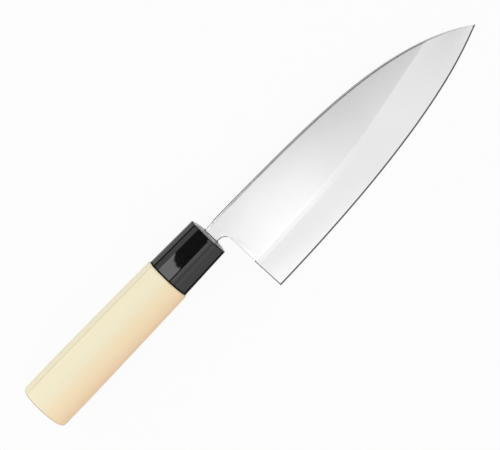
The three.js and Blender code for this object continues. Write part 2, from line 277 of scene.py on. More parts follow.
class KnifeStageSizes(bpy.types.PropertyGroup):
    """Camera, light and floor"""

    distance: span("Camera distance", "From the camera to the middle of the picture", 800.0)
    tilt: bpy.props.FloatProperty(
        name="Tilt", description="Camera's lean towards the point, from square on to the blade",
        default=math.radians(3.9), subtype="ANGLE", unit="ROTATION",
    )
    roll: bpy.props.FloatProperty(
        name="Roll", description="Camera's lean towards the spine, from square on to the blade",
        default=math.radians(9.0), subtype="ANGLE", unit="ROTATION",
    )
    turn: bpy.props.FloatProperty(
        name="Turn", description="Rise of the knife across the picture",
        default=math.radians(46.1), subtype="ANGLE", unit="ROTATION",
    )
    picture_width: span("Picture width", "Width seen at the middle of the picture", 254.2)
    floor_colour: tint("Floor", "Paper sweep, lit to white", "#d6d6d6")


def knife_place():
    """Where the knife's own frame lies in the model, from two faces that the record measures."""
    faces = {mount["name"]: mount for mount in frame["record"]["mounts"]}
    along = -Vector(faces["butt_face"]["axis"]).normalized()
    out = -Vector(faces["blade_back"]["axis"]).normalized()
    up = out.cross(along).normalized()
    reach = bpy.context.scene.knife_handle.butt_reach
    origin = Vector(faces["butt_face"]["pos_m"]) + reach * along
    return Matrix.Translation(origin) @ Matrix((along, up, out)).transposed().to_4x4()


def put_ring(ring, places):
    """Moves a ring's vertices to their places."""
    for vertex, place in zip(ring, places):
        vertex.co = place


def draw_out(bm, ring, places):
    """Extrudes a closed ring of vertices and returns the new ones in order, at their places."""
    edges = [bm.edges.get(pair) for pair in zip(ring, ring[1:] + ring[:1])]
    fresh = set(bmesh.ops.extrude_edge_only(bm, edges=edges)["geom"])
    grown = [next(e.other_vert(v) for e in v.link_edges if e.other_vert(v) in fresh) for v in ring]
    put_ring(grown, places)
    return grown


def lay_ring(bm, places):
    """A closed ring of vertices and edges."""
    ring = [bm.verts.new(place) for place in places]
    for pair in zip(ring, ring[1:] + ring[:1]):
        bm.edges.new(pair)
    return ring


def finish_piece(bm, name, materials, faces_of=None):
    """Closes a mesh, lays it in the model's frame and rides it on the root."""
    bmesh.ops.remove_doubles(bm, verts=bm.verts, dist=MERGE_DISTANCE)
    bmesh.ops.recalc_face_normals(bm, faces=bm.faces)
    for face in bm.faces:
        face.smooth = True
        if faces_of:
            face.material_index = faces_of(face)
    bmesh.ops.transform(bm, matrix=knife_place(), verts=bm.verts)
    mesh = bpy.data.meshes.new(name)
    bm.to_mesh(mesh)
    bm.free()
    mesh.set_sharp_from_angle(angle=SHARP_ANGLE)
    for material in materials:
        mesh.materials.append(material)
    piece = bpy.data.objects.new(name, mesh)
    bpy.context.scene.collection.objects.link(piece)
    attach(piece, ROOT)
    return piece


def add_node(tree, kind, settings=None, links=None):
    """Adds a node, sets its fields and sockets, and links other nodes' outputs to its sockets."""
    node = tree.nodes.new(kind)
    for key, value in (settings or {}).items():
        if isinstance(key, str) and hasattr(node, key):
            setattr(node, key, value)
        else:
            node.inputs[key].default_value = value
    for key, socket in (links or {}).items():
        tree.links.new(socket, node.inputs[key])
    return node


def new_material(name):
    """An empty material, its nodes, and the surface's place in the knife's frame in millimetres."""
    material = bpy.data.materials.new(name)
    material.use_nodes = True
    tree = material.node_tree
    tree.nodes.clear()
    back = knife_place().inverted()
    where = add_node(tree, "ShaderNodeTexCoord")
    place = add_node(tree, "ShaderNodeMapping", {
        "Location": back.to_translation() / MM,
        "Rotation": back.to_euler(),
        "Scale": (1 / MM, 1 / MM, 1 / MM),
    }, {"Vector": where.outputs["Object"]})
    return material, tree, place.outputs["Vector"]


def satin_steel(sizes):
    """Satin-polished stainless steel: nearly white, softly mirroring, with hair-fine long lines."""
    material, tree, place = new_material("satin_polished_stainless_steel")
    # Polishing lines are about 0.3 mm apart and 60 mm long, drawn that coarse so that they show
    lines = add_node(tree, "ShaderNodeMapping", {"Scale": (1 / 60, 1 / 0.3, 1 / 0.3)},
                     {"Vector": place})
    scratch = add_node(tree, "ShaderNodeTexNoise", {"Scale": 1.0, "Detail": 3.0, "Roughness": 0.6},
                       {"Vector": lines.outputs["Vector"]})
    # The polish drifts a little in shade over about 40 mm
    cloud = add_node(tree, "ShaderNodeTexNoise", {"Scale": 1 / 40, "Detail": 2.0},
                     {"Vector": place})
    gloss = add_node(tree, "ShaderNodeMapRange", {"To Min": 0.16, "To Max": 0.22},
                     {"Value": scratch.outputs["Fac"]})
    shade = add_node(tree, "ShaderNodeMapRange", {"From Min": 0.3, "From Max": 0.7},
                     {"Value": cloud.outputs["Fac"]})
    colour = add_node(tree, "ShaderNodeMix", {
        "data_type": "RGBA", 6: toned(sizes.face_colour, 0.96), 7: toned(sizes.face_colour),
    }, {0: shade.outputs["Result"]})
    relief = add_node(tree, "ShaderNodeBump", {"Strength": 0.02, "Distance": 0.00002},
                      {"Height": scratch.outputs["Fac"]})
    shader = add_node(tree, "ShaderNodeBsdfPrincipled", {"Metallic": 1.0}, {
        "Base Color": colour.outputs[2],
        "Roughness": gloss.outputs["Result"],
        "Normal": relief.outputs["Normal"],
    })
    add_node(tree, "ShaderNodeOutputMaterial", None, {"Surface": shader.outputs["BSDF"]})
    return material


def shaded_ground_steel(sizes):
    """Steel as it leaves the grinding wheel, with coarse short lines; greyer than the faces, partly
    as painted shade.
    """
    material, tree, place = new_material("wheel_ground_steel_painted_shade")
    # Wheel marks are about 0.25 mm apart and 4 mm long, and run across the spine
    marks = add_node(tree, "ShaderNodeMapping", {"Scale": (1 / 0.25, 1 / 4, 1 / 4)},
                     {"Vector": place})
    grit = add_node(tree, "ShaderNodeTexNoise", {"Scale": 1.0, "Detail": 2.0},
                    {"Vector": marks.outputs["Vector"]})
    gloss = add_node(tree, "ShaderNodeMapRange", {"To Min": 0.34, "To Max": 0.5},
                     {"Value": grit.outputs["Fac"]})
    colour = add_node(tree, "ShaderNodeMix", {
        "data_type": "RGBA", 6: toned(sizes.ground_and_shade_colour, 0.8), 7: toned(sizes.ground_and_shade_colour),
    }, {0: grit.outputs["Fac"]})
    relief = add_node(tree, "ShaderNodeBump", {"Strength": 0.1, "Distance": 0.00003},
                      {"Height": grit.outputs["Fac"]})
    shader = add_node(tree, "ShaderNodeBsdfPrincipled", {"Metallic": 1.0}, {
        "Base Color": colour.outputs[2],
        "Roughness": gloss.outputs["Result"],
        "Normal": relief.outputs["Normal"],
    })
    add_node(tree, "ShaderNodeOutputMaterial", None, {"Surface": shader.outputs["BSDF"]})
    return material


def black_plastic(name, sizes, gloss_level, coat):
    """Moulded black phenolic plastic: deep black under clear, slightly wavy reflections.

    Lacquer adds a coat, and a fine bloom that is light at a grazing angle. Where the gloss level is
    low, the plastic mirrors hardly anything."""
    material, tree, place = new_material(name)
    # The polished moulding waves over about 12 mm, and handling leaves dull marks about 2 mm wide
    wave = add_node(tree, "ShaderNodeTexNoise", {"Scale": 1 / 12, "Detail": 1.0}, {"Vector": place})
    marks = add_node(tree, "ShaderNodeTexNoise", {"Scale": 1 / 2, "Detail": 3.0}, {"Vector": place})
    gloss = add_node(tree, "ShaderNodeMapRange", {"To Min": 0.012, "To Max": 0.03},
                     {"Value": marks.outputs["Fac"]})
    colour = add_node(tree, "ShaderNodeMix", {
        "data_type": "RGBA", 6: toned(sizes.colour, 0.7), 7: toned(sizes.colour),
    }, {0: marks.outputs["Fac"]})
    relief = add_node(tree, "ShaderNodeBump", {"Strength": 0.05, "Distance": 0.0002},
                      {"Height": wave.outputs["Fac"]})
    shader = add_node(tree, "ShaderNodeBsdfPrincipled", {
        "IOR": 1.55, "Specular IOR Level": gloss_level, "Coat Weight": coat, "Coat Roughness": 0.02,
        "Coat IOR": 1.6, "Sheen Weight": coat, "Sheen Roughness": 0.3,
    }, {
        "Base Color": colour.outputs[2],
        "Roughness": gloss.outputs["Result"],
        "Normal": relief.outputs["Normal"],
    })
    add_node(tree, "ShaderNodeOutputMaterial", None, {"Surface": shader.outputs["BSDF"]})
    return material


def cured_resin(name, tone):
    """Cured filling resin: dull, with small lumps where it was smoothed by hand."""
    material, tree, place = new_material(name)
    # The smoothed surface is lumpy over about 1.5 mm
    lumps = add_node(tree, "ShaderNodeTexNoise", {"Scale": 1 / 1.5, "Detail": 2.0},
                     {"Vector": place})
    gloss = add_node(tree, "ShaderNodeMapRange", {"To Min": 0.4, "To Max": 0.55},
                     {"Value": lumps.outputs["Fac"]})
    colour = add_node(tree, "ShaderNodeMix", {
        "data_type": "RGBA", 6: toned(tone, 0.75), 7: toned(tone),
    }, {0: lumps.outputs["Fac"]})
    relief = add_node(tree, "ShaderNodeBump", {"Strength": 0.2, "Distance": 0.0001},
                      {"Height": lumps.outputs["Fac"]})
    shader = add_node(tree, "ShaderNodeBsdfPrincipled", {"IOR": 1.5}, {
        "Base Color": colour.outputs[2],
        "Roughness": gloss.outputs["Result"],
        "Normal": relief.outputs["Normal"],
    })
    add_node(tree, "ShaderNodeOutputMaterial", None, {"Surface": shader.outputs["BSDF"]})
    return material


def turn_of_crest(thick, height):
    """Angle round the handle axis, from the spine side, at which the crest lies on a section."""
    return math.atan(math.tan(bpy.context.scene.knife_handle.crest_angle) * thick / height)


def magnolia_wood(sizes):
    """Fine-sanded magnolia, unvarnished: creamy, with soft bands along it and hardly any grain."""
    material, tree, place = new_material("sanded_magnolia_wood")
    # Growth bands 7 mm wide lie round a heart 45 mm below the handle and wander along it
    heart = add_node(tree, "ShaderNodeMapping", {"Location": (0, 45, 12), "Scale": (0.02, 1, 1)},
                     {"Vector": place})
    rings = add_node(tree, "ShaderNodeTexWave", {
        "wave_type": "RINGS", "rings_direction": "X", "wave_profile": "SIN",
        "Scale": 1 / 7, "Distortion": 2.5, "Detail": 2.0, "Detail Scale": 0.25,
    }, {"Vector": heart.outputs["Vector"]})
    # Fibres are drawn 0.5 mm wide and 45 mm long, wider than real ones, so that they show
    fibres = add_node(tree, "ShaderNodeMapping", {"Scale": (1 / 45, 1 / 0.5, 1 / 0.5)},
                      {"Vector": place})
    fibre = add_node(tree, "ShaderNodeTexNoise", {"Scale": 1.0, "Detail": 4.0, "Roughness": 0.65},
                     {"Vector": fibres.outputs["Vector"]})
    # Pores are short dark strokes, about 0.3 mm wide and 5 mm long
    strokes = add_node(tree, "ShaderNodeMapping", {"Scale": (1 / 5, 1 / 0.3, 1 / 0.3)},
                       {"Vector": place})
    pores = add_node(tree, "ShaderNodeTexNoise", {"Scale": 1.0, "Detail": 1.0},
                     {"Vector": strokes.outputs["Vector"]})
    # The lower half of the handle is warmer in colour, and towards the lower side a rosier, darker
    # tint is painted shade
    split = add_node(tree, "ShaderNodeSeparateXYZ", None, {"Vector": place})
    lower = add_node(tree, "ShaderNodeMapRange", {
        "interpolation_type": "SMOOTHSTEP", "From Min": 5.0, "From Max": -5.0,
    }, {"Value": split.outputs["Y"]})
    painted_shade_low = add_node(tree, "ShaderNodeMapRange", {
        "interpolation_type": "SMOOTHSTEP", "From Min": -4.0, "From Max": -13.0,
    }, {"Value": split.outputs["Y"]})
    bands = add_node(tree, "ShaderNodeMapRange", {"To Min": -0.12, "To Max": 0.12},
                     {"Value": rings.outputs["Fac"]})
    blend = add_node(tree, "ShaderNodeMath", {"operation": "ADD", "use_clamp": True},
                     {0: lower.outputs["Result"], 1: bands.outputs["Result"]})
    ground = add_node(tree, "ShaderNodeMix", {
        "data_type": "RGBA", 6: toned(sizes.pale_colour), 7: toned(sizes.warm_colour),
    }, {0: blend.outputs["Value"]})
    ground = add_node(tree, "ShaderNodeMix", {"data_type": "RGBA", 7: toned(sizes.shaded_lower_colour)},
                      {0: painted_shade_low.outputs["Result"], 6: ground.outputs[2]})
    # The crest is darker over about 0.4 mm, the rim of the butt more so, and its end grain less
    across = add_node(tree, "ShaderNodeMath", {"operation": "ARCTAN2"},
                      {0: split.outputs["Z"], 1: split.outputs["Y"]})
    crest_turn = turn_of_crest(sizes.rear_thick, sizes.rear_height)
    beside = add_node(tree, "ShaderNodeMath", {"operation": "COMPARE", 1: crest_turn, 2: 0.014},
                      {0: across.outputs["Value"]})
    crest = add_node(tree, "ShaderNodeMath", {"operation": "MULTIPLY", 1: 0.42},
                     {0: beside.outputs["Value"]})
    butt = add_node(tree, "ShaderNodeMapRange", {
        "From Min": 0.1 - sizes.butt_reach / MM, "From Max": 0.04 - sizes.butt_reach / MM,
        "To Max": 0.4,
    }, {"Value": split.outputs["X"]})
    round_butt = add_node(tree, "ShaderNodeMath", {
        "operation": "COMPARE", 1: 0.3 - sizes.butt_reach / MM, 2: 0.25,
    }, {0: split.outputs["X"]})
    rim = add_node(tree, "ShaderNodeMath", {"operation": "MULTIPLY_ADD", 1: 0.9},
                   {0: round_butt.outputs["Value"], 2: butt.outputs["Result"]})
    darker_crest_and_rim = add_node(tree, "ShaderNodeMath", {"operation": "MAXIMUM"},
                    {0: crest.outputs["Value"], 1: rim.outputs["Value"]})
    ground = add_node(tree, "ShaderNodeMix", {"data_type": "RGBA", 7: toned(sizes.rim_colour)},
                      {0: darker_crest_and_rim.outputs["Value"], 6: ground.outputs[2]})
    streak = add_node(tree, "ShaderNodeMapRange", {
        "From Min": 0.48, "From Max": 0.75, "To Min": 0.0, "To Max": 0.18,
    }, {"Value": fibre.outputs["Fac"]})
    pore = add_node(tree, "ShaderNodeMapRange", {
        "From Min": 0.66, "From Max": 0.78, "To Min": 0.0, "To Max": 0.2,
    }, {"Value": pores.outputs["Fac"]})
    dark = add_node(tree, "ShaderNodeMath", {"operation": "MAXIMUM"},
                    {0: streak.outputs["Result"], 1: pore.outputs["Result"]})
    colour = add_node(tree, "ShaderNodeMix", {"data_type": "RGBA", 7: toned(sizes.grain_colour)},
                      {0: dark.outputs["Value"], 6: ground.outputs[2]})
    gloss = add_node(tree, "ShaderNodeMapRange", {"To Min": 0.5, "To Max": 0.68},
                     {"Value": fibre.outputs["Fac"]})
    relief = add_node(tree, "ShaderNodeBump", {
        "Strength": 0.12, "Distance": 0.00008, "invert": True,
    }, {"Height": dark.outputs["Value"]})
    shader = add_node(tree, "ShaderNodeBsdfPrincipled", {"IOR": 1.45}, {
        "Base Color": colour.outputs[2],
        "Roughness": gloss.outputs["Result"],
        "Normal": relief.outputs["Normal"],
    })
    add_node(tree, "ShaderNodeOutputMaterial", None, {"Surface": shader.outputs["BSDF"]})
    return material


def sweep(start, end, slopes, pulls):
    """Points of a curve that leaves its start and reaches its end at given slopes."""
    run = end.x - start.x
    leave = start + pulls[0] * run * Vector((1, slopes[0]))
    arrive = end - pulls[1] * run * Vector((1, slopes[1]))
    knots = [knot.to_3d() for knot in (start, leave, arrive, end)]
    points = interpolate_bezier(*knots, LINE_POINTS)
    return [p.x for p in points], [p.y for p in points]


def steps_between(start, end, count):
    """Evenly spaced values from a start to an end, with both."""
    return [start + (end - start) * step / count for step in range(count + 1)]


def arch(share):
    """A parabola that is 0 at shares 0 and 1, and 1 halfway."""
    return 4 * share * (1 - share)


def descending(heights, floor, step):
    """Keeps heights in falling order above a floor, at least one step apart."""
    for i in range(1, len(heights)):
        heights[i] = min(heights[i], heights[i - 1] - step)
    lowest = floor
    for i in range(len(heights) - 1, 0, -1):
        heights[i] = max(heights[i], lowest + step)
        lowest = heights[i]
    return heights


class BladeForm:
    """The blade's outline and grind, from its sizes."""

    def __init__(self, sizes):
        self.sizes = sizes
        self.back = -sizes.spine_thick / 2
        point = Vector((sizes.point_reach, -sizes.point_drop))
        heel = Vector((sizes.heel_reach, -sizes.heel_drop))
        self.spine_line = sweep(Vector((0, sizes.spine_rise)), point, SPINE_SLOPES, SPINE_PULLS)
        self.edge_line = sweep(heel, point, EDGE_SLOPES, EDGE_PULLS)
        ridge_start = Vector((sizes.heel_reach, -sizes.ridge_drop))
        ridge_end = Vector((sizes.ridge_reach, self.spine(sizes.ridge_reach)))
        self.ridge_line = sweep(ridge_start, ridge_end, RIDGE_SLOPES, RIDGE_PULLS)
        steep = math.hypot(1, NECK_SLOPE)
        self.fillet = Vector((sizes.heel_reach - sizes.neck_fillet, 0))
        self.fillet.y = self.neck_low(self.fillet.x) - sizes.neck_fillet * steep
        self.fillet_turn = math.atan2(1, -NECK_SLOPE)

    def spine(self, x):
        dip = max(0, 1 - max(x, 0) / self.sizes.dip_reach)
        return float(np.interp(x, *self.spine_line)) - self.sizes.neck_dip * dip * dip

    def edge(self, x):
        return float(np.interp(x, *self.edge_line))

    def ridge(self, x):
        past = max(x - self.sizes.ridge_reach, 0)
        return float(np.interp(x, *self.ridge_line)) + RIDGE_SLOPES[1] * past

    def thick(self, x):
        sizes = self.sizes
        share = min(max(x, 0), sizes.ridge_reach) / sizes.ridge_reach
        return sizes.spine_thick + share * (sizes.spine_thick_far - sizes.spine_thick)

    def hone_top(self, x):
        height = self.spine(x) - self.edge(x)
        return self.edge(x) + min(self.sizes.hone_width, HONE_LIMIT * height)

    def neck_low(self, x):
        return -self.sizes.neck_drop + NECK_SLOPE * (x - self.sizes.neck_start)

    def face(self, x, y):
        """Height of the bevelled side at one place."""
        sizes = self.sizes
        ground = min(x, sizes.ridge_reach)
        bevel_height = self.ridge(ground) - sizes.blend_width - self.edge(ground) - sizes.hone_width
        fall = self.thick(ground) - sizes.hone_thick
        slope = fall / (bevel_height + sizes.blend_steepness * sizes.blend_width)
        hone_top, blend_low = self.hone_top(x), self.ridge(x) - sizes.blend_width
        bevel = sizes.hone_thick + slope * (min(y, blend_low) - hone_top)
        share = min(max((y - hone_top) / max(blend_low - hone_top, sizes.hone_width), 0), 1)
        bevel += sizes.crown * arch(share)
        blend = sizes.blend_steepness * slope * max(0, min(y, self.ridge(x)) - blend_low)
        return self.back + max(bevel, 0) + blend

    def hollow(self, x):
        """Share of the back's hollow, which starts past the heel and ends short of the point."""
        inside = min(x - self.sizes.heel_reach, self.sizes.ridge_reach - x)
        share = min(max(inside / HOLLOW_FADE, 0), 1)
        return share * share * (3 - 2 * share)

    def section(self, x):
        """Outline of one cross-section as (y, z), from the back of the spine over the right face.

        The places of the right and back points where the neck leaves the heel come with it."""
        sizes = self.sizes
        top, bottom = self.spine(x), self.edge(x)
        height = top - bottom
        thick = self.face(x, top) - self.back
        ease = min(sizes.spine_ease, EASE_THICK_LIMIT * thick, EASE_LIMIT * height)
        flat = top - ease
        shoulder = self.face(x, flat) - ease
        corners = [(ease * math.cos(turn), ease * math.sin(turn)) for turn in CORNER_TURNS]
        outline = [(flat + rise, self.back + ease - out) for out, rise in corners]
        outline += [(flat + rise, shoulder + out) for rise, out in corners]

        ridge, soft = self.ridge(x), sizes.softness
        low, hone = ridge - sizes.blend_width, self.hone_top(x)
        heel_flat = self.spine(sizes.heel_reach) - sizes.spine_ease
        share = (heel_flat - self.fillet.y) / (heel_flat + sizes.ridge_drop)
        split = flat - share * max(flat - ridge, 0)
        crown = steps_between(low - 2 * soft, hone + 2 * soft, BEVEL_STEPS)
        heights = descending([
            flat, flat - soft, split + sizes.heel_ease, split,
            ridge + 2 * soft, ridge + soft, ridge, ridge - soft,
            low + soft, low, low - soft, *crown, hone + soft, hone,
        ], bottom, POINT_GAP * ease)
        split = heights[3]
        right = len(outline) + 2
        outline += [(y, self.face(x, y)) for y in heights[1:]]
        outline += [(bottom, self.back + sizes.edge_thick), (bottom, self.back)]

        rim_low = bottom + min(EDGE_RIM, RIM_LIMIT * height)
        rim_high = flat - min(SPINE_RIM, RIM_LIMIT * height)
        turn = min(split, rim_low + BACK_TURN * (rim_high - rim_low))
        depth = sizes.hollow * self.hollow(x)
        climb = steps_between(rim_low, turn, BACK_STEPS)
        climb += steps_between(turn, rim_high, BACK_TOP_STEPS)[1:]
        left = len(outline) + BACK_STEPS
        for y in climb:
            share = (y - rim_low) / (rim_high - rim_low)
            outline.append((y, self.back + depth * arch(share)))
        return outline, right, left


class KNIFE_OT_blade(bpy.types.Operator):
    """Forge the blade: the ground body from heel to point, then the neck and the tang behind it"""

    bl_idname = "knife.blade"
    bl_label = "Blade"

    def execute(self, context):
        sizes = context.scene.knife_blade
        form = BladeForm(sizes)
        bm = bmesh.new()

        # The heel's own section is chamfered from the neck down, but hardly so above the ridge
        heel, right, left = form.section(sizes.heel_reach)
        ridge, back_start = form.ridge(sizes.heel_reach), left - BACK_STEPS - 1
        eased = []
        for i, (y, z) in enumerate(heel):
            thick = form.face(sizes.heel_reach, y) - form.back
            share = CHAMFER_FADE if ridge < y < heel[right][0] else 1
            steep = POLISHED_CUT if y > ridge or i >= back_start else BEVEL_CUT
            cut = share * min(sizes.heel_ease, steep * thick) if right <= i < left else 0
            eased.append((y, z - cut if i < back_start else z + cut))
        heel_ring = lay_ring(bm, [(sizes.heel_reach, y, z) for y, z in eased])

        ring = heel_ring
        first = sizes.heel_reach + sizes.heel_ease
        last = sizes.point_reach - sizes.point_trim
        for i in range(BLADE_STATIONS + 1):
            x = first + (last - first) * math.sin(math.pi / 2 * i / BLADE_STATIONS)
            outline = form.section(x)[0]
            short = BEVEL_SHORT * sizes.heel_ease if i == 0 else 0
            ring = draw_out(bm, ring, [(x - short * (y < form.ridge(x)), y, z) for y, z in outline])
        bm.faces.new(ring)
        bm.faces.new(heel_ring[right:left + 1])

        # The neck runs back from the upper part of the heel, under a fillet
        stem = heel_ring[left:] + heel_ring[:right + 1]
        stem_outline = eased[left:] + eased[:right + 1]
        heel_top, heel_low = form.spine(sizes.heel_reach), form.fillet.y
        radius = sizes.neck_fillet
        turns = steps_between(0, form.fillet_turn, FILLET_STEPS)[1:]
        lows = [form.fillet + radius * Vector((math.cos(a), math.sin(a))) for a in turns]
        lows.append(Vector((sizes.neck_root, form.neck_low(sizes.neck_root))))
        for low in lows:
            top = form.spine(low.x)
            stretch = (top - low.y) / (heel_top - heel_low)
            swell = form.thick(low.x) / form.thick(sizes.heel_reach)
            stem = draw_out(bm, stem, [
                (low.x, top - (heel_top - y) * stretch, form.back + (z - form.back) * swell)
                for y, z in stem_outline
            ])

        # The tang steps in behind the neck and tapers to its end inside the handle
        tang_reach = context.scene.knife_handle.tang_reach
        neck_top, neck_low = form.spine(sizes.neck_root), form.neck_low(sizes.neck_root)
        neck_places = [vertex.co.copy() for vertex in stem]
        for x, (high, low, thick) in ((sizes.neck_root, TANG_ROOT), (-tang_reach, TANG_TIP)):
            stretch, swell = (high - low) / (neck_top - neck_low), thick / sizes.spine_thick
            stem = draw_out(bm, stem, [
                (x, low + (p.y - neck_low) * stretch, p.z * swell) for p in neck_places
            ])
        bm.faces.new(stem)

        # The ground finish goes on the spine, the heel's chamfer below the ridge, the neck's lower
        # side and the honed strip; its dark grey there is partly painted shade
        def finish_of(face):
            middle, normal = face.calc_center_median(), face.normal
            ahead = middle.x > sizes.heel_reach
            honed = ahead and middle.y < form.edge(middle.x) + sizes.hone_width
            low, high = CHAMFER_LEAN
            chamfer = middle.x < first and normal.y < low < normal.z < high
            polished = ahead and middle.y > form.ridge(first)
            spine = ahead and normal.y > FACING
            cut = spine or normal.y < -FACING or normal.x < -FACING
            return int(cut or (honed and normal.z > 0) or (chamfer and not polished))

        piece = finish_piece(bm, "ground_blade", [satin_steel(sizes), shaded_ground_steel(sizes)],
                             finish_of)
        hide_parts("blade")
        return {"FINISHED"}


def oval_ring(bm, crest):
    """A ring of radius 1 across the handle, with a crest where two tangents to it meet."""
    sizes = bpy.context.scene.knife_handle
    ring = bmesh.ops.create_circle(bm, segments=OVAL_POINTS, radius=1)["verts"]
    stand = Matrix(((0, 0, 1), (0, 1, 0), (-1, 0, 0)))
    bmesh.ops.rotate(bm, verts=ring, matrix=Matrix.Rotation(sizes.crest_angle, 3, "X") @ stand)
    peak = Vector((0, math.cos(sizes.crest_angle), math.sin(sizes.crest_angle)))
    reach = math.acos(1 / (1 + crest))
    for vertex in ring:
        away = vertex.co.angle(peak)
        if away < reach:
            vertex.co /= math.cos(reach - away)
    return ring


def oval_places(unit, x, height, thick):
    """The unit ring stretched to one section of the handle or collar."""
    return [(x, p.y * height / 2, p.z * thick / 2) for p in unit]


def slot_places(unit, x, high, low, side):
    """The unit ring squared up into a slot with rounded corners."""
    squared = []
    for p in unit:
        across = Vector((p.y, p.z)).normalized()
        y = math.copysign(abs(across.x) ** SLOT_SQUARENESS, across.x)
        z = math.copysign(abs(across.y) ** SLOT_SQUARENESS, across.y)
        squared.append((x, (high + low) / 2 + y * (high - low) / 2, z * side))
    return squared


def sleeve_places(unit, sizes, x, ease):
    """One section of the collar's tapered sleeve, drawn in by an easing or a wall."""
    share = -x / sizes.length
    height = sizes.front_height + share * (sizes.rear_height - sizes.front_height)
    thick = sizes.front_thick + share * (sizes.rear_thick - sizes.front_thick)
    return oval_places(unit, x, height - 2 * ease, thick - 2 * ease)


class KNIFE_OT_collar(bpy.types.Operator):
    """Mould the collar: a tapered oval sleeve with an eased front rim and a slot for the tang"""

    bl_idname = "knife.collar"
    bl_label = "Collar"

    def execute(self, context):
        sizes = context.scene.knife_collar
        crest = context.scene.knife_handle.crest_rise / (sizes.front_thick / 2)
        bm = bmesh.new()
        ring = oval_ring(bm, crest)
        unit = [vertex.co.copy() for vertex in ring]

        def outer(x, ease):
            return sleeve_places(unit, sizes, x, ease)

        rear = outer(-sizes.length, 0)
        put_ring(ring, rear)
        for share in COLLAR_STATIONS:
            ring = draw_out(bm, ring, outer(-sizes.length * share, 0))
        ease = sizes.ease
        for turn in CORNER_TURNS:
            x = -ease * (1 - math.sin(turn))
            ring = draw_out(bm, ring, outer(x, ease * (1 - math.cos(turn))))
        face_height, face_thick = sizes.front_height - 2 * ease, sizes.front_thick - 2 * ease
        for share in DOME_STATIONS:
            x = sizes.dome * (1 - share ** 4)
            section = oval_places(unit, x, share * face_height, share * face_thick)
            ring = draw_out(bm, ring, section)
        slot = (sizes.slot_top, -sizes.slot_bottom, sizes.slot_side)
        mouth = []
        for x, y, z in slot_places(unit, 0, *slot):
            away = (2 * y / face_height) ** 2 + (2 * z / face_thick) ** 2
            mouth.append((sizes.dome * (1 - away ** 2), y, z))
        ring = draw_out(bm, ring, mouth)
        ring = draw_out(bm, ring, slot_places(unit, -sizes.front_wall, *slot))
        ring = draw_out(bm, ring, outer(-sizes.front_wall, sizes.wall))
        ring = draw_out(bm, ring, outer(-sizes.length, sizes.wall))
        draw_out(bm, ring, rear)

        # The front is lacquered over the filled mouth. A dark strip lines the crest, and painted
        # shade darkens the lower side and the rims at both ends, as a plastic that mirrors hardly
        # anything.
        skins = [
            black_plastic("moulded_black_phenolic", sizes, 0.5, 0.0),
            black_plastic("lacquered_black_phenolic", sizes, 0.5, 1.0),
            black_plastic("dark_crest_and_painted_shade_phenolic", sizes, 0.01, 0.0),
        ]
        crest_turn = turn_of_crest(sizes.front_thick, sizes.front_height)

        def finish_of(face):
            middle = face.calc_center_median()
            turn = math.atan2(middle.z, middle.y)
            if face.normal.x > FRONT_FACING:
                return 1
            # Painted shade on the lower side, and a dark line along the crest
            crest_line_and_painted_shade = 0 < turn - crest_turn < CREST_LINE_ANGLE or turn > SHADED_UNDERSIDE_TURN
            # Painted shade on the rims at both ends
            painted_shade_rims = middle.x > -ease or middle.x < -COLLAR_STATIONS[0] * sizes.length
            return 2 if crest_line_and_painted_shade or painted_shade_rims else 0

        piece = finish_piece(bm, "moulded_collar", skins, finish_of)
        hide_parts("collar")
        return {"FINISHED"}


class KNIFE_OT_bead(bpy.types.Operator):
    """Lay the sealing bead that closes the collar's mouth round the tang"""

    bl_idname = "knife.bead"
    bl_label = "Sealing bead"

    def execute(self, context):
        sizes = context.scene.knife_collar
        bm = bmesh.new()
        ring = oval_ring(bm, 0)
        unit = [vertex.co.copy() for vertex in ring]
        deep, proud = BEAD_SHORT - sizes.front_wall, sizes.bead_proud
        rim = BEAD_RIM * sizes.dome

        def outer(x, ease):
            high, low = sizes.slot_top - ease, ease - sizes.slot_bottom
            return slot_places(unit, x, high, low, sizes.slot_side - ease)

        start = outer(deep, 0)
        put_ring(ring, start)
        for turn in CORNER_TURNS:
            x = rim + (proud - rim) * math.sin(turn)
            ring = draw_out(bm, ring, outer(x, BEAD_ROUND * (1 - math.cos(turn)) + BEAD_CLEARANCE))
        high, low, thick = TANG_ROOT
        hole = (high, low, thick / 2)
        ring = draw_out(bm, ring, slot_places(unit, proud, *hole))
        ring = draw_out(bm, ring, slot_places(unit, deep, *hole))
        draw_out(bm, ring, start)
        resin = cured_resin("dark_sealing_resin", sizes.bead_colour)
        piece = finish_piece(bm, "sealing_bead", [resin])
        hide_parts("mouth_seal")
        return {"FINISHED"}


